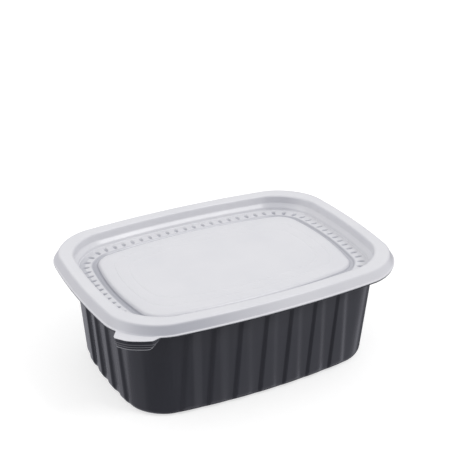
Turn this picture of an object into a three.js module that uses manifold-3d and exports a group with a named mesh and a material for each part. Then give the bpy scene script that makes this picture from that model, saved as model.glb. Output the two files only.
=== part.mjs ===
// Disposable soup container: a rectangular black tub with ribbed walls and a milky press-fit lid.
// Millimetres, +Z up, +X along the length. The origin is the middle of the tub's flat base.
//
// Both pieces are thin shells lofted through closed rings. Every ring is a rounded rectangle
// whose four sides bulge outward, so one outline function shapes the whole object.

import * as THREE from "three";
import { mergeVertices } from "three/addons/utils/BufferGeometryUtils.js";
import Module from "manifold-3d";

const wasm = await Module();
wasm.setup();

// ---- Driving dimensions ----------------------------------------------------------------

const HEIGHT = 69.6; // floor to the top of the lid's rim

// Outline of the lid at the outer edge of its rim, before its sides bulge.
const RIM = { halfLength: 93.0, halfWidth: 67.3, radius: 26.0, sideBulge: 6.7, endBulge: 5.2 };

// Outline of the tub where its wall leaves the rim, and where it would meet the floor.
const TUB_TOP = { halfLength: 84.5, halfWidth: 58.8, radius: 18.6, sideBulge: 6.6, endBulge: 4.4 };
const TUB_BASE = { halfLength: 79.9, halfWidth: 55.2, radius: 18.7, sideBulge: 6.6, endBulge: 4.4 };
const TUB_TOP_DEPTH = 6.3; // how far below the top of the rim TUB_TOP is measured

const TUB_WALL = 0.7;
const BASE_FILLET = 4.0;

// Upright ribs standing out of the tub's walls. They widen and deepen towards the base.
// Each row sits a little off the middle of its wall.
const SIDE_RIBS = { count: 7, pitch: 17.35, shift: -2.0 };
const END_RIBS = { count: 4, pitch: 17.35, shift: 2.4 };
const RIB_FACE_TOP = 1.8; // width of the flat face
const RIB_FACE_BASE = 8.0;
const RIB_FLANK = 2.0; // width of each sloping side
const RIB_DEPTH_TOP = 1.3; // how far the face stands out
const RIB_DEPTH_BASE = 1.6;
const RIB_FOOT = 3.2; // height where a rib starts out of the rounded base
const RIB_LOW = 8.0; // height where it has its full depth
const RIB_HIGH = 55.5; // height where it starts to fade under the rim
const RIB_END = 57.4;

// Over the ribs the wall steps out to a collar, which makes room for the lid's plug.
const COLLAR_START = 58.4;
const COLLAR_STEP = 0.9;

// Depths below the top of the rim, in the lid.
const PANEL_DEPTH = 8.1; // the raised middle
const MOAT_DEPTH = 9.45; // the moat round it
const CHANNEL_DEPTH = 10.4; // the narrow channel between the two
const LID_THICKNESS = 0.6;
const SKIRT_DROP = 6.3;
const PANEL_RADIUS = 8.2; // the tightest corner, round the raised middle
const CORNER_TIGHTENING = 0.038; // per millimetre squared, of corners towards the middle

// Oval slots pressed into the floor of the moat.
const SLOTS_PER_PART = [4.5, 18, 4.5, 10.5]; // a corner, a long side, a corner, an end
const SLOT_START = 10.8; // distance in from the rim's outer edge
const SLOT_LENGTH = 5.8;
const SLOT_WIDTH = 2.5;
const SLOT_DEPTH = 1.1;
const SLOT_TAPER = 0.6; // size of a slot's floor against its mouth

// The pull tab on the front-left corner: degrees round the corner from the end wall.
const TAB_CORNER = 2; // corners are counted anticlockwise from +X +Y
const TAB_FROM = 21;
const TAB_TO = 71;
const TAB_REACH = 5.9; // beyond the lid's skirt
const TAB_ROOT = 1.9; // offset from the rim's edge where both tabs are rooted
const TAB_RIDGES = 3; // grip ridges hanging from the tub's own tab
const RIDGE_HEIGHT = 1.9;
const RIDGE_INSET = 0.75; // how far each lower ridge stands back
const RIDGE_WIDTH = 1.7;
const RIDGE_SHORTER = 3; // degrees that each lower ridge stops short of the one above

const OVERLAP = 0.2; // how far fused pieces reach into each other

const ARC_STEPS_TUB = 8; // segments in one corner
const ARC_STEPS_LID = 10;
const STRAIGHT_STEPS_LID = 6; // segments along one side
const TAB_SEGMENTS = 14;

// ---- Outline ---------------------------------------------------------------------------

// The same outline moved outward by offset. Inward, its corners tighten more and more.
function offsetForm(form, offset) {
  const tightened = Math.max(form.radius - CORNER_TIGHTENING * offset ** 2, PANEL_RADIUS);
  return {
    ...form,
    halfLength: form.halfLength + offset,
    halfWidth: form.halfWidth + offset,
    radius: offset > 0 ? form.radius + offset : tightened,
  };
}

// The tub's outer wall at a height: the two outlines blended along the wall's taper.
function tubForm(height, inset = 0) {
  const share = height / (HEIGHT - TUB_TOP_DEPTH);
  const form = {};
  for (const key of Object.keys(TUB_BASE)) {
    form[key] = TUB_BASE[key] + (TUB_TOP[key] - TUB_BASE[key]) * share;
  }
  form.halfLength -= inset;
  form.halfWidth -= inset;
  form.radius -= inset;
  return form;
}

// Pulls a point of the plain rounded rectangle in, most at the corners, so the sides bulge.
function bulge(form, x, y) {
  const alongX = Math.abs(x) / form.halfLength;
  const alongY = Math.abs(y) / form.halfWidth;
  return [
    x - Math.sign(x) * form.endBulge * alongY ** 2 * alongX,
    y - Math.sign(y) * form.sideBulge * alongX ** 2 * alongY,
  ];
}

// A point on one of the four corners, counted anticlockwise from +X +Y, degrees from its start.
function cornerPoint(form, corner, degrees) {
  const signX = corner === 0 || corner === 3 ? 1 : -1;
  const signY = corner < 2 ? 1 : -1;
  const angle = THREE.MathUtils.degToRad(90 * corner + degrees);
  return bulge(
    form,
    signX * (form.halfLength - form.radius) + form.radius * Math.cos(angle),
    signY * (form.halfWidth - form.radius) + form.radius * Math.sin(angle),
  );
}

// A point on one of the four sides, counted anticlockwise from +X, standing out of the wall.
function sidePoint(form, side, along, proud = 0) {
  const isEnd = side % 2 === 0;
  const reach = (isEnd ? form.halfLength : form.halfWidth) + proud;
  const sign = side < 2 ? 1 : -1;
  const position = side === 0 || side === 3 ? along : -along;
  return isEnd ? bulge(form, sign * reach, position) : bulge(form, position, sign * reach);
}

// Stations of the ribs along one wall: where each one is, and whether it stands out.
function ribStations({ count, pitch, shift }, faceWidth) {
  const stations = [];
  for (let index = 0; index < count; index += 1) {
    const middle = (index - (count - 1) / 2) * pitch + shift;
    stations.push({ along: middle - faceWidth / 2 - RIB_FLANK, raised: 0 });
    stations.push({ along: middle - faceWidth / 2, raised: 1 });
    stations.push({ along: middle + faceWidth / 2, raised: 1 });
    stations.push({ along: middle + faceWidth / 2 + RIB_FLANK, raised: 0 });
  }
  return stations;
}

// One closed ring of the tub, anticlockwise from above.
function tubRing(form, height, ribDepth = 0) {
  const faceWidth = THREE.MathUtils.lerp(RIB_FACE_BASE, RIB_FACE_TOP, height / HEIGHT);
  const points = [];
  for (let side = 0; side < 4; side += 1) {
    for (const { along, raised } of ribStations(side % 2 ? SIDE_RIBS : END_RIBS, faceWidth)) {
      points.push([...sidePoint(form, side, along, raised * ribDepth), height]);
    }
    for (let step = 0; step <= ARC_STEPS_TUB; step += 1) {
      points.push([...cornerPoint(form, side, (90 * step) / ARC_STEPS_TUB), height]);
    }
  }
  return points;
}

// A point of the lid's outline, at an offset outward from the rim's edge. The place counts
// corners and sides in turn, from the corner at +X +Y.
function lidPoint(offset, place) {
  const form = offsetForm(RIM, offset);
  const part = Math.floor(place) % 8;
  const share = place % 1;
  if (part % 2 === 0) return cornerPoint(form, part / 2, 90 * share);
  const side = ((part + 1) / 2) % 4;
  const half = (side % 2 === 0 ? form.halfWidth : form.halfLength) - form.radius;
  return sidePoint(form, side, half * (2 * share - 1));
}

// One closed ring of the lid: offset outward from the rim's edge, depth below its top.
function lidRing(offset, depth) {
  const points = [];
  for (let part = 0; part < 8; part += 1) {
    const steps = part % 2 === 0 ? ARC_STEPS_LID : STRAIGHT_STEPS_LID;
    for (let step = 0; step < steps; step += 1) {
      points.push([...lidPoint(offset, part + step / steps), HEIGHT - depth]);
    }
  }
  return points;
}

// ---- Solids ----------------------------------------------------------------------------

function closedGeometry(points, triangles) {
  const geometry = new THREE.BufferGeometry();
  geometry.setAttribute("position", new THREE.Float32BufferAttribute(points.flat(), 3));
  geometry.setIndex(triangles);
  return geometry;
}

// A shell through rings that run from its underside, round its edge, to its upper side.
// A flat fan closes each end.
function loft(rings) {
  const count = rings[0].length;
  const last = rings.length - 1;
  const points = rings.flat();
  const below = points.push([0, 0, rings[0][0][2]]) - 1;
  const above = points.push([0, 0, rings[last][0][2]]) - 1;
  const triangles = [];
  for (let index = 0; index < count; index += 1) {
    const next = (index + 1) % count;
    triangles.push(below, next, index);
    triangles.push(above, last * count + index, last * count + next);
    for (let ring = 0; ring < last; ring += 1) {
      const low = ring * count;
      const high = low + count;
      triangles.push(low + index, low + next, high + next);
      triangles.push(low + index, high + next, high + index);
    }
  }
  return closedGeometry(points, triangles);
}

// A strip that follows the front-left corner. Each section across it is a loop of four
// points: inner low, outer low, outer high, inner high.
function cornerStrip(sections) {
  const points = sections.flat();
  const triangles = [];
  for (let index = 0; index < sections.length - 1; index += 1) {
    const here = index * 4;
    const there = here + 4;
    for (let edge = 0; edge < 4; edge += 1) {
      const next = (edge + 1) % 4;
      triangles.push(here + edge, there + next, here + next);
      triangles.push(here + edge, there + edge, there + next);
    }
  }
  const end = points.length - 4;
  triangles.push(0, 1, 2, 0, 2, 3);
  triangles.push(end, end + 2, end + 1, end, end + 3, end + 2);
  return closedGeometry(points, triangles);
}

function toManifold(geometry) {
  const merged = geometry.clone();
  merged.deleteAttribute("normal");
  merged.deleteAttribute("uv");
  const shared = mergeVertices(merged, 1e-4);
  const mesh = new wasm.Mesh({
    numProp: 3,
    vertProperties: new Float32Array(shared.attributes.position.array),
    triVerts: new Uint32Array(shared.index.array),
  });
  return new wasm.Manifold(mesh);
}

// Fuses pieces that overlap into one closed body, then cuts others out of it.
function fuse(geometries, cuts = []) {
  let solid = toManifold(geometries[0]);
  for (const geometry of geometries.slice(1)) {
    solid = solid.add(toManifold(geometry));
  }
  for (const geometry of cuts) {
    solid = solid.subtract(toManifold(geometry));
  }
  const mesh = solid.getMesh();
  const fused = new THREE.BufferGeometry();
  fused.setAttribute("position", new THREE.BufferAttribute(mesh.vertProperties.slice(), 3));
  fused.setIndex(new THREE.BufferAttribute(mesh.triVerts.slice(), 1));
  return fused;
}

// ---- Corner tab ------------------------------------------------------------------------

// How far out the tab reaches round the corner: a steep start, a long fall, a steep end.
function tabShape(share) {
  const rise = THREE.MathUtils.smoothstep(share, 0, 0.16);
  const fall = 1 - 0.4 * THREE.MathUtils.clamp((share - 0.4) / 0.4, 0, 1);
  const end = 1 - THREE.MathUtils.smoothstep(share, 0.8, 1);
  return rise * fall * end;
}

// A strip round the corner between two depths. Its outer edge follows the tab's shape, and its
// inner edge, given how far the tab reaches there, stays at the root or follows it too.
function tabStrip({ inner, outer, reach, top, bottom, to = TAB_TO }) {
  const low = HEIGHT - bottom;
  const high = HEIGHT - top;
  const sections = [];
  for (let segment = 0; segment <= TAB_SEGMENTS; segment += 1) {
    const share = segment / TAB_SEGMENTS;
    const degrees = TAB_FROM + (to - TAB_FROM) * share;
    const push = reach * tabShape(share);
    const near = cornerPoint(offsetForm(RIM, inner(push)), TAB_CORNER, degrees);
    const far = cornerPoint(offsetForm(RIM, outer + push), TAB_CORNER, degrees);
    sections.push([[...near, low], [...far, low], [...far, high], [...near, high]]);
  }
  return cornerStrip(sections);
}

// ---- Tub -------------------------------------------------------------------------------

// The rolled rim: [offset from the rim's outer edge, depth below its top], outside to inside.
const LIP = { offset: 2.85, top: 6.65, bottom: 7.15 };
const BEAD = [
  [-5.6, 5.8],
  [-5.5, 1.75],
  [-1.35, 1.75],
  [0.95, LIP.bottom],
  [LIP.offset, LIP.bottom],
  [LIP.offset, LIP.top],
  [1.75, LIP.top],
  [-0.6, 1.6],
  [-1.1, 1.0],
  [-6.2, 1.0],
  [-6.4, 5.6],
];

// How far the ribs stand out at a height, nothing in the rounded base and under the rim.
function ribDepthAt(height) {
  const full = THREE.MathUtils.lerp(RIB_DEPTH_BASE, RIB_DEPTH_TOP, height / HEIGHT);
  const foot = THREE.MathUtils.smoothstep(height, RIB_FOOT, RIB_LOW);
  return full * foot * (height < RIB_END ? 1 : 0);
}

// The quarter round at the foot of the wall, in steps of some degrees from the base up.
function baseFillet(radius, floor, inset, stepDegrees) {
  const rings = [];
  for (let degrees = 0; degrees <= 90; degrees += stepDegrees) {
    const angle = THREE.MathUtils.degToRad(degrees);
    const height = floor + radius * (1 - Math.cos(angle));
    rings.push(tubRing(tubForm(height, inset + radius * (1 - Math.sin(angle))), height));
  }
  return rings;
}

// The ribbed wall and the foot of the collar over it.
function wallRings(inset) {
  const middleOfFoot = (RIB_FOOT + RIB_LOW) / 2;
  const ribbed = [middleOfFoot, RIB_LOW, RIB_HIGH, RIB_END].map((height) =>
    tubRing(tubForm(height, inset), height, ribDepthAt(height)),
  );
  return [...ribbed, tubRing(tubForm(COLLAR_START, inset - COLLAR_STEP), COLLAR_START)];
}

function tubShell() {
  const outside = [...baseFillet(BASE_FILLET, 0, 0, 30), ...wallRings(0)];
  const rim = BEAD.map(([offset, depth]) => tubRing(offsetForm(RIM, offset), HEIGHT - depth));
  const inside = [
    ...baseFillet(BASE_FILLET - TUB_WALL, TUB_WALL, TUB_WALL, 45),
    ...wallRings(TUB_WALL),
  ];
  return loft([...outside, ...rim, ...inside.reverse()]);
}

// The tub's own tab under the lid's, with stepped grip ridges hanging from its edge.
function tubTab() {
  const reach = TAB_REACH - 0.2; // just short of the lid's tab
  const plate = tabStrip({
    inner: () => TAB_ROOT,
    outer: LIP.offset + OVERLAP / 2,
    reach,
    top: LIP.top,
    bottom: LIP.bottom,
  });
  const strips = [plate];
  for (let ridge = 0; ridge < TAB_RIDGES; ridge += 1) {
    const outer = LIP.offset - RIDGE_INSET * ridge;
    const top = LIP.bottom - OVERLAP + RIDGE_HEIGHT * ridge;
    strips.push(
      tabStrip({
        inner: (push) => outer + push - RIDGE_WIDTH,
        outer,
        reach,
        top,
        bottom: top + RIDGE_HEIGHT + OVERLAP,
        to: TAB_TO - RIDGE_SHORTER * ridge,
      }),
    );
  }
  return strips;
}

function makeTub() {
  const material = new THREE.MeshStandardMaterial({
    color: new THREE.Color(0.026, 0.027, 0.031),
    roughness: 0.34,
    metalness: 0,
  });
  const tub = new THREE.Mesh(fuse([tubShell(), ...tubTab()]), material);
  tub.name = "tub";
  return tub;
}

// ---- Lid -------------------------------------------------------------------------------

const SKIRT_LIP = { offset: 3.1, top: 5.7 };

// The lid's section from the middle of its underside, round the skirt, to its raised panel:
// [offset from the rim's outer edge, depth below its top].
const LID_SECTION = [
  [-22.1, PANEL_DEPTH + LID_THICKNESS],
  [-20.7, CHANNEL_DEPTH + LID_THICKNESS],
  [-17.8, CHANNEL_DEPTH + LID_THICKNESS],
  [-17.1, MOAT_DEPTH + LID_THICKNESS],
  [-9.05, MOAT_DEPTH + LID_THICKNESS],
  [-8.85, 8.1],
  [-6.9, 5.7],
  [-6.7, LID_THICKNESS],
  [-0.9, LID_THICKNESS],
  [-0.35, 1.2],
  [1.85, 5.7],
  [2.3, SKIRT_DROP],
  [SKIRT_LIP.offset, SKIRT_DROP],
  [SKIRT_LIP.offset, SKIRT_LIP.top],
  [2.45, 5.4],
  [0.3, 1.0],
  [-0.3, 0.25],
  [-1.2, 0],
  [-7.2, 0],
  [-7.5, 5.35],
  [-9.45, 7.75],
  [-9.7, MOAT_DEPTH],
  [-17.6, MOAT_DEPTH],
  [-18.3, CHANNEL_DEPTH],
  [-20.2, CHANNEL_DEPTH],
  [-21.7, PANEL_DEPTH],
];

// Places of the slots round the moat, counted as in lidPoint.
function slotPlaces() {
  const places = [];
  let start = 0;
  let slot = 0.5;
  for (let part = 0; part < 8; part += 1) {
    const count = SLOTS_PER_PART[part % 4];
    for (; slot < start + count; slot += 1) places.push(part + (slot - start) / count);
    start += count;
  }
  return places;
}

// A tapered block over one slot, larger by wall all round, between two depths.
function slotBlock(place, { wall, top, bottom }) {
  const outer = new THREE.Vector3(...lidPoint(-SLOT_START, place), 0);
  const inner = new THREE.Vector3(...lidPoint(-(SLOT_START + SLOT_LENGTH), place), 0);
  const inward = inner.clone().sub(outer).normalize();
  const middle = outer.add(inner).multiplyScalar(0.5).setZ(HEIGHT - (top + bottom) / 2);
  const up = new THREE.Vector3(0, 0, 1);
  const across = new THREE.Vector3().crossVectors(up, inward);
  const corner = Math.SQRT2; // from the middle, in a square with sides of 2
  const geometry = new THREE.CylinderGeometry(corner, corner * SLOT_TAPER, bottom - top, 4);
  geometry.rotateX(Math.PI / 2);
  geometry.rotateZ(Math.PI / 4);
  geometry.scale(SLOT_LENGTH / 2 + wall, SLOT_WIDTH / 2 + wall, 1);
  geometry.applyMatrix4(new THREE.Matrix4().makeBasis(inward, across, up).setPosition(middle));
  return geometry;
}

function makeLid() {
  const material = new THREE.MeshStandardMaterial({
    color: new THREE.Color(0.73, 0.73, 0.78),
    roughness: 0.28,
    metalness: 0,
    transparent: true,
    opacity: 0.9,
  });
  const shell = loft(LID_SECTION.map(([offset, depth]) => lidRing(offset, depth)));
  const tab = tabStrip({
    inner: () => TAB_ROOT,
    outer: SKIRT_LIP.offset,
    reach: TAB_REACH,
    top: SKIRT_LIP.top + 0.05, // a hair under the lip's face, so the two never share a plane
    bottom: SKIRT_DROP,
  });
  const floor = MOAT_DEPTH + SLOT_DEPTH;
  const cups = slotPlaces().map((place) =>
    slotBlock(place, {
      wall: LID_THICKNESS,
      top: MOAT_DEPTH + LID_THICKNESS - OVERLAP,
      bottom: floor + LID_THICKNESS,
    }),
  );
  const slots = slotPlaces().map((place) =>
    slotBlock(place, { wall: 0, top: MOAT_DEPTH - OVERLAP, bottom: floor }),
  );
  const lid = new THREE.Mesh(fuse([shell, tab, ...cups], slots), material);
  lid.name = "lid";
  return lid;
}

// ---- The whole container ---------------------------------------------------------------

const container = new THREE.Group();
container.add(makeTub());
container.add(makeLid());

export default container;
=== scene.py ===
import math

import bpy
import numpy as np
from mathutils import Matrix, Vector


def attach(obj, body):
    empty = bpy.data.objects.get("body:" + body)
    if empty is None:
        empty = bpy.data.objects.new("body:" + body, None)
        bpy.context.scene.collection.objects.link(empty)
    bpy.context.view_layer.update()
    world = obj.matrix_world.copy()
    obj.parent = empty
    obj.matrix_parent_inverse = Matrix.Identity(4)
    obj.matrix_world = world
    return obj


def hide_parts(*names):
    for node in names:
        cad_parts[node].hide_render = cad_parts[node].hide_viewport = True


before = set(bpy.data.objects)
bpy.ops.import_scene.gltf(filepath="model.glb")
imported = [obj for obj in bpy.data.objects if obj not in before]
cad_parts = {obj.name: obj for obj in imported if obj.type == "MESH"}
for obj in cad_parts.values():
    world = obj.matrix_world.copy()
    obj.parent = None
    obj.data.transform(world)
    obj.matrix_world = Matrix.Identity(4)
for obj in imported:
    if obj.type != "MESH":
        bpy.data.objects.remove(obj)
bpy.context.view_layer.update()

MM = 0.001

# ---- Sizes, in millimetres -------------------------------------------------------------

HEIGHT = 69.6  # floor to the top of the lid's rim

# Rounded rectangles whose sides bulge: half length, half width, corner radius and the bulges.
RIM = dict(length=93.0, width=67.3, radius=26.0, side=6.7, end=5.2)
TUB_TOP = dict(length=84.5, width=58.8, radius=18.6, side=6.6, end=4.4)
TUB_BASE = dict(length=79.9, width=55.2, radius=18.7, side=6.6, end=4.4)
TUB_TOP_DEPTH = 6.3  # how far below the top of the rim TUB_TOP is measured

TUB_WALL = 0.7
BASE_FILLET = 4.0
BASE_SHRINK = (0.985, 0.94, 0.93, 0.9, 0.6, 0.3, 0.1)  # rings on the flat base, as shares of its edge

# Upright ribs. Each has a steep flank and a soft one, which follows it anticlockwise.
SIDE_RIBS = dict(count=7, pitch=17.4, shift=-1.9, steep=2.4, soft=6.4)
END_RIBS = dict(count=4, pitch=16.9, shift=4.3, steep=2.4, soft=2.6)
RIB_FACE_TOP = 0.6  # width of a rib's face, at the rim and at the base
RIB_FACE_BASE = 6.7
RIB_DEPTH_TOP = 1.3
RIB_DEPTH_BASE = 1.6
RIB_FOOT = 0.0  # heights where the ribs start, are full, start to fade and are gone
RIB_LOW = 6.0
RIB_HIGH = 55.5
RIB_END = 57.4

# The pull tab on one corner of the lid, and the tub's own tab under it with its grip ridges.
TAB_CORNER = 2  # counted anticlockwise from +X +Y
TAB_FROM = 21.0  # degrees round the corner
TAB_TO = 71.0
TAB_REACH = 5.9
TUB_TAB_REACH = 5.7
TAB_RISEN = 0.16  # shares of the tab's run where it is full, starts to fall and starts to end
TAB_FALLS = 0.4
TAB_ENDS = 0.8
TAB_FALL = 0.4  # share of its reach that it loses between the last two
RIDGE_HEIGHT = 1.9
RIDGE_SHORTER = 3.0  # degrees by which each lower ridge ends sooner
RIDGE_RISE = 3.0  # degrees over which a ridge starts
RIDGE_FADE = 6.0  # degrees over which it ends
OFF_CORNER = -1000.0  # stands for the degrees of a point that isn't on the tab's corner

# Over the ribs the wall steps out to a collar, which makes room for the lid's plug.
COLLAR_START = 58.4
COLLAR_STEP = 0.9

# Painted light: the tub's wall is painted paler towards the rim, where the lid's skirt shades it.
TOP_PAINTED_LIGHT = 0.035  # share of the pale colour in the tub's wall under the rim
TOP_PAINTED_LIGHT_HEIGHTS = (32.0, 56.0)

# Depths below the top of the rim, in the lid.
PANEL_DEPTH = 8.1
MOAT_DEPTH = 9.45
CHANNEL_DEPTH = 10.4
LID_THICKNESS = 0.6
PANEL_RADIUS = 8.2
CORNER_TIGHTENING = 0.038  # per millimetre squared, of the lid's corners towards its middle

# Oval slots pressed into the moat's floor, and how many fall to each corner and side.
SLOTS_ROUND_CORNER = 4.5
SLOTS_ALONG_SIDE = 18
SLOTS_ALONG_END = 10.5
SLOT_START = 10.8  # distance in from the rim's outer edge
SLOT_LENGTH = 5.8
SLOT_WIDTH = 2.9
SLOT_PITCH = 6.35
SLOT_DEPTH = 1.1

# ---- Outline ---------------------------------------------------------------------------


def offset_form(form, offset):
    """The same outline moved outward. Inward, its corners tighten more and more."""
    moved = dict(form)
    moved["length"] += offset
    moved["width"] += offset
    if offset > 0:
        moved["radius"] += offset
    else:
        moved["radius"] = max(moved["radius"] - CORNER_TIGHTENING * offset**2, PANEL_RADIUS)
    return moved


def tub_form(height, inset=0.0):
    """The tub's outer wall at a height, blended along its taper."""
    share = height / (HEIGHT - TUB_TOP_DEPTH)
    form = {key: TUB_BASE[key] + (TUB_TOP[key] - TUB_BASE[key]) * share for key in TUB_BASE}
    for key in ("length", "width", "radius"):
        form[key] -= inset
    return form


def bulged(form, x, y):
    """Pulls points of the plain rounded rectangle in, most at the corners."""
    along_x = np.abs(x) / form["length"]
    along_y = np.abs(y) / form["width"]
    return np.stack(
        [
            x - np.sign(x) * form["end"] * along_y**2 * along_x,
            y - np.sign(y) * form["side"] * along_x**2 * along_y,
        ],
        axis=-1,
    )


def corner_points(form, corner, degrees):
    """Points on a corner, counted anticlockwise from +X +Y, at degrees from its start."""
    sign_x = 1 if corner in (0, 3) else -1
    sign_y = 1 if corner < 2 else -1
    angle = np.radians(90 * corner + np.asarray(degrees, float))
    x = sign_x * (form["length"] - form["radius"]) + form["radius"] * np.cos(angle)
    y = sign_y * (form["width"] - form["radius"]) + form["radius"] * np.sin(angle)
    return bulged(form, x, y)


def side_points(form, side, along, proud=0.0):
    """Points on a side, counted anticlockwise from +X, standing out of the wall."""
    is_end = side % 2 == 0
    reach = (form["length"] if is_end else form["width"]) + proud
    sign = 1 if side < 2 else -1
    position = np.asarray(along, float) * (1 if side in (0, 3) else -1)
    across = sign * reach * np.ones_like(position)
    return bulged(form, across, position) if is_end else bulged(form, position, across)


def smoothstep(value, low, high):
    """0 up to low, 1 from high on, and a soft S between them."""
    share = np.clip((np.asarray(value, float) - low) / (high - low), 0, 1)
    return share * share * (3 - 2 * share)


def tab_shape(share):
    """How far out the tab reaches round the corner: a steep start, a long fall, a steep end."""
    rise = smoothstep(share, 0, TAB_RISEN)
    fall = 1 - TAB_FALL * np.clip((share - TAB_FALLS) / (TAB_ENDS - TAB_FALLS), 0, 1)
    end = 1 - smoothstep(share, TAB_ENDS, 1)
    return rise * fall * end


# ---- Profiles --------------------------------------------------------------------------

ROUND_STEPS = 4
MOST_CUT = 0.45  # share of a stretch that one rounding may take
LEAST_CUT = 0.01
HOLD = 0.25  # how far from the ends of a long stretch its extra points lie


def rounded(profile):
    """Rounds a polyline's corners. Each point is (offset, depth, radius, tab share).

    Long stretches get a point near each end, so that smooth shading stays on the corners.
    """
    points = [np.array(p, float) for p in profile]
    out = [points[0]]
    for before, here, after in zip(points, points[1:], points[2:]):
        into = before - here
        away = after - here
        length_in = math.hypot(into[0], into[1])
        length_out = math.hypot(away[0], away[1])
        cut = min(here[2], MOST_CUT * length_in, MOST_CUT * length_out)
        if cut <= LEAST_CUT:
            out.append(here)
            continue
        start = here + into * (cut / length_in)
        end = here + away * (cut / length_out)
        for step in range(ROUND_STEPS + 1):
            t = step / ROUND_STEPS
            out.append((1 - t) ** 2 * start + 2 * t * (1 - t) * here + t * t * end)
    out.append(points[-1])
    held = [out[0]]
    for before, here in zip(out, out[1:]):
        length = math.hypot(here[0] - before[0], here[1] - before[1])
        if length > 4 * HOLD:
            held.append(before + (here - before) * (HOLD / length))
            held.append(here - (here - before) * (HOLD / length))
        held.append(here)
    return held


# ---- Meshes ----------------------------------------------------------------------------


def loft(name, rings, tint):
    """A closed shell through rings of points in millimetres. A fan closes each end.

    tint has one number per point of each ring: how far the colour turns to painted light or painted
    shade there.
    """
    count = len(rings[0])
    points = np.concatenate(rings)
    middles = [rings[0].mean(axis=0), rings[-1].mean(axis=0)]
    vertices = np.concatenate([points, middles]) * MM
    index = np.arange(count)
    following = (index + 1) % count
    faces = []
    for ring in range(len(rings) - 1):
        low = ring * count
        high = low + count
        faces += np.stack([low + index, low + following, high + following, high + index], 1).tolist()
    first, last = len(points), len(points) + 1
    top = (len(rings) - 1) * count
    faces += np.stack([np.full(count, first), following, index], 1).tolist()
    faces += np.stack([np.full(count, last), top + index, top + following], 1).tolist()
    mesh = bpy.data.meshes.new(name)
    mesh.from_pydata(vertices.tolist(), [], faces)
    mesh.validate()
    mesh.shade_smooth()
    values = np.concatenate([*tint, [0, 0]]).astype(np.float32)
    mesh.attributes.new("tint", "FLOAT", "POINT").data.foreach_set("value", values)
    piece = bpy.data.objects.new(name, mesh)
    bpy.context.scene.collection.objects.link(piece)
    return piece


def at_height(outline, height):
    """An outline of points as a level ring. The height may be one number or one per point."""
    return np.column_stack([outline, np.broadcast_to(height, len(outline))])


# ---- Tub -------------------------------------------------------------------------------

FLANK_STEPS = 9
FACE_STEPS = 4
GAP_STEPS = 5
CORNER_STEPS = 40


def rib_stations(ribs, face_width, half):
    """Where the points of one side lie, and how far out of the wall each is, from 0 to 1."""
    along = []
    proud = []
    edge = -half
    flank = np.linspace(0, 1, FLANK_STEPS)
    raised = (1 - np.cos(math.pi * flank)) / 2
    for index in range(ribs["count"]):
        middle = (index - (ribs["count"] - 1) / 2) * ribs["pitch"] + ribs["shift"]
        left = middle - face_width / 2
        right = middle + face_width / 2
        along.append(np.linspace(edge, left - ribs["steep"], GAP_STEPS + 1)[1:-1])
        proud.append(np.zeros(GAP_STEPS - 1))
        along.append(left - ribs["steep"] * (1 - flank))
        proud.append(raised)
        along.append(np.linspace(left, right, FACE_STEPS + 2)[1:-1])
        proud.append(np.ones(FACE_STEPS))
        along.append(right + ribs["soft"] * flank)
        proud.append(raised[::-1])
        edge = right + ribs["soft"]
    along.append(np.linspace(edge, half, GAP_STEPS + 1)[1:-1])
    proud.append(np.zeros(GAP_STEPS - 1))
    return np.concatenate(along), np.concatenate(proud)


def tub_outline(form, height, rib_depth=0.0):
    """The tub's outline: each side with its ribs, then the corner after it."""
    face_width = RIB_FACE_BASE + (RIB_FACE_TOP - RIB_FACE_BASE) * height / HEIGHT
    outline = []
    for side in range(4):
        ribs = SIDE_RIBS if side % 2 else END_RIBS
        half = (form["length"] if side % 2 else form["width"]) - form["radius"]
        along, proud = rib_stations(ribs, face_width, half)
        outline.append(side_points(form, side, along, proud * rib_depth))
        outline.append(corner_points(form, side, np.linspace(0, 90, CORNER_STEPS)))
    return np.concatenate(outline)


def tub_corner_degrees():
    """For every point of the tub's outline, its degrees round the tab's corner, or OFF_CORNER."""
    degrees = []
    for side in range(4):
        ribs = SIDE_RIBS if side % 2 else END_RIBS
        along, _ = rib_stations(ribs, RIB_FACE_TOP, TUB_BASE["length"])  # for their number alone
        degrees.append(np.full(len(along), OFF_CORNER))
        if side == TAB_CORNER:
            degrees.append(np.linspace(0, 90, CORNER_STEPS))
        else:
            degrees.append(np.full(CORNER_STEPS, OFF_CORNER))
    return np.concatenate(degrees)


def rib_depth_at(height):
    """How far the ribs stand out at a height. They fade at the foot and under the collar."""
    full = RIB_DEPTH_BASE + (RIB_DEPTH_TOP - RIB_DEPTH_BASE) * height / HEIGHT
    return full * smoothstep(height, RIB_FOOT, RIB_LOW) * (1 - smoothstep(height, RIB_HIGH, RIB_END))


def base_rings(radius, floor, inset):
    """The flat base and the quarter round at the foot of the wall."""
    edge = tub_outline(tub_form(floor, inset + radius), floor)
    rings = [at_height(edge * share, floor) for share in reversed(BASE_SHRINK)]
    for degrees in range(0, 91, 10):
        angle = math.radians(degrees)
        height = floor + radius * (1 - math.cos(angle))
        form = tub_form(height, inset + radius * (1 - math.sin(angle)))
        rings.append(at_height(tub_outline(form, height, rib_depth_at(height)), height))
    return rings


def wall_rings(inset):
    """The ribbed wall and the foot of the collar over it."""
    low = np.linspace(RIB_FOOT, RIB_LOW, 9)[2:]
    middle = np.linspace(RIB_LOW, RIB_HIGH, 9)[1:]
    high = np.linspace(RIB_HIGH, RIB_END, 5)[1:]
    step = np.linspace(RIB_END, COLLAR_START, 6)[1:]
    rings = []
    for height in (*low[low > BASE_FILLET], *middle, *high, *step):
        out = COLLAR_STEP * smoothstep(height, RIB_END, COLLAR_START)
        outline = tub_outline(tub_form(height, inset - out), height, rib_depth_at(height))
        rings.append(at_height(outline, height))
    return rings


# Depths round a grip ridge, without the drop of the ridges themselves.
RIDGE_UNDERSIDE = 7.15
RIDGE_EDGE_LOW = 7.05
RIDGE_EDGE_HIGH = 6.75
RIDGE_SIDE = 6.5
RIDGE_ROOT = 7.2
RIDGE_ROUNDING = 0.15


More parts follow.
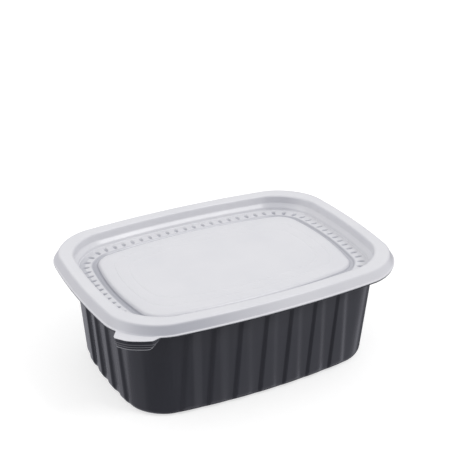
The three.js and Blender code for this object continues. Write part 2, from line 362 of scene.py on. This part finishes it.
def grip_ridge(inner, outer, ridges, painted_glint):
    """Points of the rim's section round one grip ridge, with a painted highlight on its lower edge."""
    return [
        (inner, RIDGE_UNDERSIDE, 1, ridges, 0),
        (outer - RIDGE_ROUNDING, RIDGE_UNDERSIDE, 1, ridges, painted_glint),
        (outer, RIDGE_EDGE_LOW, 1, ridges, painted_glint),
        (outer, RIDGE_EDGE_HIGH, 1, ridges, painted_glint),
        (outer, RIDGE_SIDE, 1, ridges, 0),
        (outer, RIDGE_ROOT, 1, ridges - 1, 0),
    ]


# The rim, outside to inside: offset, depth, share of the tab's reach, how many of the tab's
# grip ridges hang above that point, and how strong a painted highlight it has.
TUB_RIM = [
    (-5.9, 6.5, 0, 0, 0),
    (-5.6, 5.7, 0, 0, 0),
    (-5.5, 2.2, 0, 0, 0),
    (-5.2, 1.8, 0, 0, 0),
    (-4.8, 1.7, 0, 0, 0),
    (-1.7, 1.7, 0, 0, 0),
    (-1.3, 1.9, 0, 0, 0),
    (-1.1, 2.3, 0, 0, 0),
    (0.9, 6.8, 0, 0, 0),
    (1.1, 7.1, 0, 0, 0),
    (1.9, 7.15, 0.7, 0, 0),
    *grip_ridge(1.0, 1.3, 3, 1),
    *grip_ridge(1.4, 2.0, 2, 0.45),
    *grip_ridge(2.1, 2.75, 1, 0.35),
    (2.85, 6.95, 1, 0, 0),
    (2.8, 6.7, 1, 0, 0),
    (2.6, 6.65, 1, 0, 0),
    (1.75, 6.6, 0, 0, 0),
    (1.6, 6.4, 0, 0, 0),
    (-0.5, 1.8, 0, 0, 0),
    (-0.7, 1.35, 0, 0, 0),
    (-1.2, 1.0, 0, 0, 0),
    (-5.7, 1.0, 0, 0, 0),
    (-6.1, 1.1, 0, 0, 0),
    (-6.35, 1.5, 0, 0, 0),
    (-6.4, 5.3, 0, 0, 0),
    (-6.65, 6.3, 0, 0, 0),
]


def rim_rings():
    """The rings of the tub's rim with its tab and grip ridges, and their painted highlights."""
    degrees = tub_corner_degrees()
    share = (degrees - TAB_FROM) / (TAB_TO - TAB_FROM)
    reach = TUB_TAB_REACH * np.where((share > 0) & (share < 1), tab_shape(share), 0)
    rings = []
    tint = []
    for offset, depth, tab, ridges, painted_glint in TUB_RIM:
        outline = tub_outline(offset_form(RIM, offset), HEIGHT)
        for i in np.flatnonzero(tab * reach):
            moved = offset_form(RIM, offset + tab * reach[i])
            outline[i] = corner_points(moved, TAB_CORNER, degrees[i])
        drop = np.zeros(len(outline))
        for ridge in range(ridges):
            end = TAB_TO - RIDGE_SHORTER * ridge
            rise = smoothstep(degrees, TAB_FROM, TAB_FROM + RIDGE_RISE)
            drop += RIDGE_HEIGHT * rise * (1 - smoothstep(degrees, end - RIDGE_FADE, end))
        rings.append(at_height(outline, HEIGHT - depth - drop))
        # Painted highlight along the lower edges of the grip ridges.
        tint.append(painted_glint * np.clip(drop / RIDGE_HEIGHT, 0, 1))
    return rings, tint


def painted_light_at_top(rings):
    """Painted light: the wall's colour turns a little paler towards the rim."""
    return [np.full(len(ring), TOP_PAINTED_LIGHT * smoothstep(ring[0, 2], *TOP_PAINTED_LIGHT_HEIGHTS)) for ring in rings]


def make_tub():
    """The tub's shell: up its outside, over the rim and down its inside."""
    outside = base_rings(BASE_FILLET, 0.0, 0.0) + wall_rings(0.0)
    inside = base_rings(BASE_FILLET - TUB_WALL, TUB_WALL, TUB_WALL) + wall_rings(TUB_WALL)
    rim, rim_tint = rim_rings()
    # Painted light: paler towards the rim on both faces of the wall, and on the grip ridges' edges.
    tint = painted_light_at_top(outside) + rim_tint + painted_light_at_top(inside[::-1])
    return loft("tub_shell", outside + rim + inside[::-1], tint)


# ---- Lid -------------------------------------------------------------------------------


def lid_outline(form, place):
    """Points of the lid's outline. place counts corners and sides in turn, from corner 0."""
    outline = np.zeros((len(place), 2))
    part = np.floor(place).astype(int) % 8
    share = place - np.floor(place)
    for corner in range(4):
        here = part == 2 * corner
        outline[here] = corner_points(form, corner, 90 * share[here])
        side = (corner + 1) % 4
        here = part == 2 * corner + 1
        half = (form["length"] if side % 2 else form["width"]) - form["radius"]
        outline[here] = side_points(form, side, half * (2 * share[here] - 1))
    return outline


SLOT_STATIONS = (-1, -0.85, -0.68, -0.5, -0.25, 0, 0.25, 0.5, 0.68, 0.85, 1)  # in half widths
GAP_STATIONS = 4
SLOT_RUN_POINTS = 15
SLOT_FLAT = 0.4  # share of a slot's half width and half length over which its floor is flat

# A fine raised line on the panel, and its section as shares of its width and height.
BEAD_WIDTH = 0.9
BEAD_HEIGHT = 0.11
BEAD_SHAPE = ((0, 0), (0.2, 0.6), (0.35, 1), (0.65, 1), (0.8, 0.6), (1, 0))


def slot_layout():
    """Places round the lid of the mesh's stations, and how far each is from a slot's middle."""
    shares = (SLOTS_ROUND_CORNER, SLOTS_ALONG_SIDE, SLOTS_ROUND_CORNER, SLOTS_ALONG_END) * 2
    passed = np.concatenate([[0], np.cumsum(shares)])
    half = SLOT_WIDTH / 2 / SLOT_PITCH
    slot = half * np.array(SLOT_STATIONS)
    gap = np.linspace(half, 1 - half, GAP_STATIONS + 2)[1:-1]
    stations = np.concatenate([slot, gap])
    counts = (np.arange(round(passed[-1]))[:, None] + 0.5 + stations).ravel()
    across = np.tile(np.minimum(np.abs(stations), np.abs(1 - stations)) / half, round(passed[-1]))
    order = np.argsort(counts % passed[-1])
    place = np.interp((counts % passed[-1])[order], passed, np.arange(9))
    return place, across[order]


def slot_run(depth):
    """Points of the lid's section where it crosses the slots."""
    offsets = np.linspace(-SLOT_START, -SLOT_START - SLOT_LENGTH, SLOT_RUN_POINTS)
    return [(offset, depth, 0, 0) for offset in offsets]


def bead(offset):
    """Points of the lid's section over a fine raised line on the panel."""
    return [
        (offset - share * BEAD_WIDTH, PANEL_DEPTH - rise * BEAD_HEIGHT, 0, 0)
        for share, rise in BEAD_SHAPE
    ]


# The lid's section, from the middle of its underside to its raised panel: offset, depth,
# rounding, and share of the tab's reach.
LID_SECTION = [
    (-24.5, PANEL_DEPTH + LID_THICKNESS, 0, 0),
    (-22.1, PANEL_DEPTH + LID_THICKNESS, 0.8, 0),
    (-20.7, CHANNEL_DEPTH + LID_THICKNESS, 0.4, 0),
    (-17.8, CHANNEL_DEPTH + LID_THICKNESS, 0.4, 0),
    (-17.1, MOAT_DEPTH + LID_THICKNESS, 0.3, 0),
    *reversed(slot_run(MOAT_DEPTH + LID_THICKNESS)),
    (-9.05, MOAT_DEPTH + LID_THICKNESS, 0.5, 0),
    (-8.85, 8.1, 0.4, 0),
    (-6.9, 5.7, 0.5, 0),
    (-6.7, LID_THICKNESS, 0.4, 0),
    (-0.9, LID_THICKNESS, 0.4, 0),
    (-0.35, 1.2, 0.4, 0),
    (1.85, 5.7, 0.3, 0),
    (2.3, 6.25, 0.15, 0),
    (3.1, 6.3, 0.18, 1),
    (3.1, 5.7, 0.18, 1),
    (2.45, 5.45, 0.35, 0),
    (0.3, 1.0, 0.6, 0),
    (-0.3, 0.25, 0.5, 0),
    (-1.2, 0, 0.5, 0),
    (-7.3, 0, 1.4, 0),
    (-7.5, 5.35, 0.5, 0),
    (-9.45, 7.75, 0.45, 0),
    (-9.7, MOAT_DEPTH, 0.5, 0),
    *slot_run(MOAT_DEPTH),
    (-17.6, MOAT_DEPTH, 0.4, 0),
    (-18.3, CHANNEL_DEPTH, 0.4, 0),
    (-20.2, CHANNEL_DEPTH, 0.4, 0),
    (-21.6, PANEL_DEPTH, 1.4, 0),
    (-24.5, PANEL_DEPTH, 0, 0),
    *bead(-28.5),
    *bead(-35.5),
]
PANEL_SHRINK = (0.99, 0.9, 0.8, 0.65, 0.5, 0.35, 0.2, 0.08)
LEVEL_MARGIN = 0.01  # how near to the moat's floor a point counts as on it

# How far the sheet's colour turns to painted shade, in the parts of the section.
SLOT_PAINTED_SHADE = 0.75
CHANNEL_PAINTED_SHADE = 0.5
SKIRT_PAINTED_SHADE = 0.6
WALL_PAINTED_SHADE = 0.3
MOAT_PAINTED_SHADE = 0.38
LEFT_MORE = 0.35
BACK_LESS = 0.3
# Those parts, as offsets, with the depth below which they start.
CHANNEL_FROM, CHANNEL_TO = -20.6, -16.6
CHANNEL_RAMP = (16.6, 17.6)
SKIRT_FROM, SKIRT_TO, SKIRT_DEPTH = -0.6, 2.5, 0.4
SKIRT_RAMP = (-0.6, 0.6)
WALL_FROM, WALL_TO, WALL_DEPTH = -13.5, -7.2, 0.8
# Stretches round the lid, as places of lid_outline: the ramp up and the ramp down.
AT_LEFT_END = ((2.4, 3.1), (4.2, 4.9))
AT_BACK = ((0.7, 1.3), (1.8, 2.4))
BY_TAB = ((3.9, 4.8), (4.95, 5.6))
LEFT_FLOOR = ((2.1, 2.9), (4.1, 4.8))
LEFT_WALL = ((2.7, 3.5), (4.1, 4.8))
RIGHT_BACK_CORNER = ((0.2, 0.6), (0.8, 1.15))


def within(place, stretch):
    """1 inside a stretch round the lid and 0 outside, with soft ramps."""
    up, down = stretch
    return smoothstep(place, *up) * (1 - smoothstep(place, *down))


def uneven(place):
    """How much more painted shade the left end gets than the back, about 1 elsewhere."""
    return 1 + LEFT_MORE * within(place, AT_LEFT_END) - BACK_LESS * within(place, AT_BACK)


def painted_shade_in_section(offset, depth, place):
    """Painted shade in the channel, on the skirt by the tab, and in places of the moat."""
    on_floor = depth > MOAT_DEPTH - LEVEL_MARGIN
    if on_floor and CHANNEL_FROM < offset < CHANNEL_TO:
        return CHANNEL_PAINTED_SHADE * smoothstep(-offset, *CHANNEL_RAMP) * uneven(place)
    if SKIRT_FROM < offset < SKIRT_TO and depth > SKIRT_DEPTH:
        return SKIRT_PAINTED_SHADE * within(place, BY_TAB) * smoothstep(offset, *SKIRT_RAMP)
    if WALL_FROM < offset < WALL_TO and depth > WALL_DEPTH:
        if on_floor:
            return MOAT_PAINTED_SHADE * within(place, LEFT_FLOOR)
        corner = WALL_PAINTED_SHADE * within(place, RIGHT_BACK_CORNER)
        return MOAT_PAINTED_SHADE * within(place, LEFT_WALL) + corner
    return 0


def make_lid():
    """The lid's shell: out along its underside, round the skirt and back over its top."""
    place, across = slot_layout()
    degrees = np.where(np.floor(place) == 2 * TAB_CORNER, 90 * (place % 1), OFF_CORNER)
    share = (degrees - TAB_FROM) / (TAB_TO - TAB_FROM)
    reach = TAB_REACH * np.where((share > 0) & (share < 1), tab_shape(share), 0)
    rings = []
    tint = []
    for offset, depth, _, tab in rounded(LID_SECTION):
        outline = lid_outline(offset_form(RIM, offset), place)
        for i in np.flatnonzero(tab * reach):
            form = offset_form(RIM, offset + tab * reach[i])
            outline[i] = corner_points(form, TAB_CORNER, degrees[i])
        along = (-offset - SLOT_START) / SLOT_LENGTH * 2 - 1
        pressed = 1 - smoothstep(np.hypot(across, along), SLOT_FLAT, 1)
        if depth < MOAT_DEPTH - LEVEL_MARGIN:
            pressed *= 0
        rings.append(at_height(outline, HEIGHT - depth - SLOT_DEPTH * pressed))
        # Painted shade in the pressed slots.
        slots = SLOT_PAINTED_SHADE * pressed * uneven(place)
        tint.append(np.maximum(slots, painted_shade_in_section(offset, depth, place)))
    below = [at_height(rings[0][:, :2] * share, rings[0][0, 2]) for share in reversed(PANEL_SHRINK)]
    above = [at_height(rings[-1][:, :2] * share, rings[-1][0, 2]) for share in PANEL_SHRINK]
    even = [np.zeros(len(place))] * len(PANEL_SHRINK)
    return loft("lid_shell", below + rings + above, even + tint + even)


# ---- Materials -------------------------------------------------------------------------

PLASTIC_IOR = 1.49
# Each pair holds the two colours that a noise blends.
TUB_COLOURS = ((0.028, 0.029, 0.036), (0.034, 0.035, 0.044))
LID_COLOURS = ((0.635, 0.637, 0.670), (0.685, 0.683, 0.710))
FLOOR_COLOURS = ((0.49, 0.49, 0.49), (0.51, 0.51, 0.51))
# The colours that the meshes' tint leads to: painted light on the tub, painted shade on the lid.
TUB_PAINTED_LIGHT = (0.40, 0.40, 0.42)
LID_PAINTED_SHADE = (0.27, 0.28, 0.33)
FLOOR_GLOW = 0.6
NOISE_LOW, NOISE_HIGH = 0.15, 0.85  # nearly all of a noise's values lie between these


def new_material(name):
    """A new material, its shader and its links."""
    material = bpy.data.materials.new(name)
    material.use_nodes = True
    return material, material.node_tree.nodes["Principled BSDF"], material.node_tree.links


def add_noise(material, per_metre, detail=2.0):
    """Noise on the piece's own coordinates, with so many features a metre along X, Y and Z."""
    nodes, links = material.node_tree.nodes, material.node_tree.links
    stretch = nodes.new("ShaderNodeMapping")
    stretch.inputs["Scale"].default_value = per_metre
    links.new(nodes.new("ShaderNodeTexCoord").outputs["Object"], stretch.inputs["Vector"])
    noise = nodes.new("ShaderNodeTexNoise")
    noise.inputs["Scale"].default_value = 1.0
    noise.inputs["Detail"].default_value = detail
    links.new(stretch.outputs["Vector"], noise.inputs["Vector"])
    return noise.outputs["Fac"]


def add_range(material, value, low, high):
    """Spreads a noise value over a range."""
    nodes, links = material.node_tree.nodes, material.node_tree.links
    spread = nodes.new("ShaderNodeMapRange")
    spread.inputs["From Min"].default_value = NOISE_LOW
    spread.inputs["From Max"].default_value = NOISE_HIGH
    spread.inputs["To Min"].default_value = low
    spread.inputs["To Max"].default_value = high
    links.new(value, spread.inputs["Value"])
    return spread.outputs["Result"]


def add_mix(material, factor, first, second):
    """Blends two colours, each given as a colour or as another node's socket."""
    nodes, links = material.node_tree.nodes, material.node_tree.links
    mix = nodes.new("ShaderNodeMix")
    mix.data_type = "RGBA"
    links.new(factor, mix.inputs["Factor"])
    for socket, colour in (("A", first), ("B", second)):
        if isinstance(colour, tuple):
            mix.inputs[socket].default_value = (*colour, 1)
        else:
            links.new(colour, mix.inputs[socket])
    return mix.outputs["Result"]


def add_bump(material, height, distance, strength, under=None):
    """A bump of a real height in metres, over another one where given."""
    nodes, links = material.node_tree.nodes, material.node_tree.links
    bump = nodes.new("ShaderNodeBump")
    bump.inputs["Distance"].default_value = distance
    bump.inputs["Strength"].default_value = strength
    links.new(height, bump.inputs["Height"])
    if under is not None:
        links.new(under, bump.inputs["Normal"])
    return bump.outputs["Normal"]


def add_tint(material):
    """How far the colour turns to painted light or painted shade, as the mesh states it."""
    tint = material.node_tree.nodes.new("ShaderNodeAttribute")
    tint.attribute_name = "tint"
    return tint.outputs["Fac"]


def tub_material():
    """Black plastic: faint upright flow streaks, cloudy gloss, a fine grain and painted light, paler
    near the rim and on the grip ridges' lower edges.
    """
    material, shader, links = new_material("tub_black_plastic")
    streaks = add_noise(material, per_metre=(260, 260, 14), detail=3.0)
    clouds = add_noise(material, per_metre=(45, 45, 45))
    grain = add_noise(material, per_metre=(1800, 1800, 1800))
    flow = add_range(material, streaks, low=0, high=1)
    plastic = add_mix(material, flow, *TUB_COLOURS)
    # Painted light: the tint turns the black towards a pale grey.
    colour = add_mix(material, add_tint(material), plastic, TUB_PAINTED_LIGHT)
    links.new(colour, shader.inputs["Base Color"])
    links.new(add_range(material, clouds, low=0.19, high=0.27), shader.inputs["Roughness"])
    shader.inputs["IOR"].default_value = PLASTIC_IOR
    fine = add_bump(material, grain, distance=0.00002, strength=0.25)
    streaky = add_bump(material, streaks, distance=0.00006, strength=0.5, under=fine)
    links.new(streaky, shader.inputs["Normal"])
    return material


def lid_material():
    """Milky plastic: cloudy, and darker and bluer where the mesh's tint paints shade."""
    material, shader, links = new_material("lid_milky_plastic")
    clouds = add_noise(material, per_metre=(38, 38, 38), detail=3.0)
    grain = add_noise(material, per_metre=(1400, 1400, 1400))
    milk = add_range(material, clouds, low=0, high=1)
    plastic = add_mix(material, milk, *LID_COLOURS)
    # Painted shade: the tint turns the plastic towards a darker, bluer grey.
    colour = add_mix(material, add_tint(material), plastic, LID_PAINTED_SHADE)
    links.new(colour, shader.inputs["Base Color"])
    links.new(add_range(material, clouds, low=0.34, high=0.26), shader.inputs["Roughness"])
    shader.inputs["IOR"].default_value = PLASTIC_IOR
    waves = add_bump(material, clouds, distance=0.0003, strength=0.15)
    grainy = add_bump(material, grain, distance=0.00003, strength=0.3, under=waves)
    links.new(grainy, shader.inputs["Normal"])
    return material


def floor_material():
    """A pale matt sheet that glows a little, so that it stays white."""
    material, shader, links = new_material("floor_pale")
    fibres = add_noise(material, per_metre=(120, 120, 120), detail=4.0)
    colour = add_mix(material, add_range(material, fibres, low=0, high=1), *FLOOR_COLOURS)
    links.new(colour, shader.inputs["Base Color"])
    links.new(add_range(material, fibres, low=0.75, high=0.85), shader.inputs["Roughness"])
    shader.inputs["Emission Color"].default_value = (1, 1, 1, 1)
    shader.inputs["Emission Strength"].default_value = FLOOR_GLOW
    return material


# ---- Pieces ----------------------------------------------------------------------------

tub = make_tub()
tub.data.materials.append(tub_material())
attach(tub, "root")
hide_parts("tub")

lid = make_lid()
lid.data.materials.append(lid_material())
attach(lid, "root")
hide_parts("lid")

# ---- Studio ----------------------------------------------------------------------------

FLOOR_HALF = 4.0  # metres


def make_floor(half):
    """A square floor, which the object neither mirrors nor takes light from."""
    corners = [(-half, -half, 0), (half, -half, 0), (half, half, 0), (-half, half, 0)]
    mesh = bpy.data.meshes.new("floor")
    mesh.from_pydata(corners, [], [(0, 1, 2, 3)])
    floor = bpy.data.objects.new("floor", mesh)
    bpy.context.scene.collection.objects.link(floor)
    mesh.materials.append(floor_material())
    floor.visible_glossy = False
    floor.visible_diffuse = False


SKY = 0.95  # brightness of the studio's tent overhead
HORIZON = (-0.2, 0.6)  # sines of the angles between which the lower part blends into the sky
# The lower part, round the compass: degrees from -Y towards -X, and brightness.
# It is dark in front and darkest at the back right.
TABLE_SHADE = [
    (-180, 0.6),
    (-150, 0.15),
    (-106, 0.15),
    (-100, 0.8),
    (-90, 0.8),
    (-81, 0.5),
    (-62, 0.48),
    (-28, 0.62),
    (-22, 0.56),
    (-16, 0.26),
    (73, 0.26),
    (78, 0.5),
    (132, 0.38),
    (148, 0.56),
    (180, 0.6),
]
TABLE_TINT = (0.98, 0.98, 1.08)  # the lower part is a little blue
# Soft lights, each with the way it comes from, strength and softness in degrees, and shine.
LIGHTS = {
    "key_light": ((0.41, -0.50, 0.76), 0.75, 16, 1.0),
    "fill_light": ((-0.95, 0.05, 0.27), 0.4, 40, 0.0),
}


def make_world():
    """A pale tent over a table whose shade changes round the compass."""
    world = bpy.data.worlds.new("studio")
    world.use_nodes = True
    bpy.context.scene.world = world
    nodes, links = world.node_tree.nodes, world.node_tree.links
    background = nodes["Background"]

    direction = nodes.new("ShaderNodeSeparateXYZ")
    links.new(nodes.new("ShaderNodeTexCoord").outputs["Generated"], direction.inputs[0])
    flipped = []
    for axis in ("X", "Y"):
        flip = nodes.new("ShaderNodeMath")
        flip.operation = "MULTIPLY"
        flip.inputs[1].default_value = -1
        links.new(direction.outputs[axis], flip.inputs[0])
        flipped.append(flip)
    compass = nodes.new("ShaderNodeMath")
    compass.operation = "ARCTAN2"
    for socket, flip in enumerate(flipped):
        links.new(flip.outputs[0], compass.inputs[socket])
    turn = nodes.new("ShaderNodeMapRange")
    turn.inputs["From Min"].default_value = -math.pi
    turn.inputs["From Max"].default_value = math.pi
    links.new(compass.outputs[0], turn.inputs["Value"])
    shade = nodes.new("ShaderNodeValToRGB")
    stops = shade.color_ramp.elements
    for degrees, brightness in TABLE_SHADE[1:-1]:
        stops.new(degrees / 360 + 0.5).color = (*(brightness * part for part in TABLE_TINT), 1)
    for end in (0, -1):
        stops[end].color = (*(TABLE_SHADE[end][1] * part for part in TABLE_TINT), 1)
    links.new(turn.outputs["Result"], shade.inputs["Fac"])

    above = nodes.new("ShaderNodeMapRange")
    above.interpolation_type = "SMOOTHSTEP"
    above.inputs["From Min"].default_value = HORIZON[0]
    above.inputs["From Max"].default_value = HORIZON[1]
    links.new(direction.outputs["Z"], above.inputs["Value"])
    blend = nodes.new("ShaderNodeMix")
    blend.data_type = "RGBA"
    links.new(above.outputs["Result"], blend.inputs["Factor"])
    links.new(shade.outputs["Color"], blend.inputs["A"])
    blend.inputs["B"].default_value = (SKY, SKY, SKY, 1)
    links.new(blend.outputs["Result"], background.inputs["Color"])


def make_light(name, source, strength, softness, shine):
    """A distant light that shines from the direction of its source."""
    light = bpy.data.lights.new(name, "SUN")
    light.energy = strength
    light.angle = math.radians(softness)
    light.specular_factor = shine
    lamp = bpy.data.objects.new(name, light)
    lamp.rotation_euler = (-Vector(source)).to_track_quat("-Z", "Y").to_euler()
    bpy.context.scene.collection.objects.link(lamp)


make_floor(FLOOR_HALF)
make_world()
for name, settings in LIGHTS.items():
    make_light(name, *settings)

# ---- Camera ----------------------------------------------------------------------------

CAMERA_AZIMUTH = -28.34  # degrees; the camera stands towards -Y, turned towards -X
CAMERA_ELEVATION = 29.74
CAMERA_DISTANCE = 0.6857  # from the middle of the container's height
CAMERA_LENS = 88.88
CAMERA_YAW = 0.0365  # degrees the camera looks to the right of that middle
CAMERA_PITCH = 3.835  # degrees it looks above it
CAMERA_ROLL = 0.309
CAMERA_NEAR = 0.01


def make_camera():
    """The camera at its fitted place."""
    azimuth = math.radians(CAMERA_AZIMUTH)
    elevation = math.radians(CAMERA_ELEVATION)
    back = Vector(
        (
            math.sin(azimuth) * math.cos(elevation),
            -math.cos(azimuth) * math.cos(elevation),
            math.sin(elevation),
        )
    )
    right = (-back).cross(Vector((0, 0, 1))).normalized()
    up = right.cross(-back)
    look = -back + right * math.tan(math.radians(CAMERA_YAW)) + up * math.tan(math.radians(CAMERA_PITCH))
    turn = look.to_track_quat("-Z", "Y").to_matrix().to_4x4()
    roll = Matrix.Rotation(math.radians(CAMERA_ROLL), 4, "Z")
    middle = Vector((0, 0, HEIGHT / 2 * MM))
    camera = bpy.data.objects.new("camera", bpy.data.cameras.new("camera"))
    camera.data.lens = CAMERA_LENS
    camera.data.clip_start = CAMERA_NEAR
    camera.matrix_world = Matrix.Translation(middle + back * CAMERA_DISTANCE) @ turn @ roll
    bpy.context.scene.collection.objects.link(camera)
    bpy.context.scene.camera = camera


make_camera()
bpy.context.scene.view_settings.view_transform = "Standard"

bpy.context.view_layer.update()
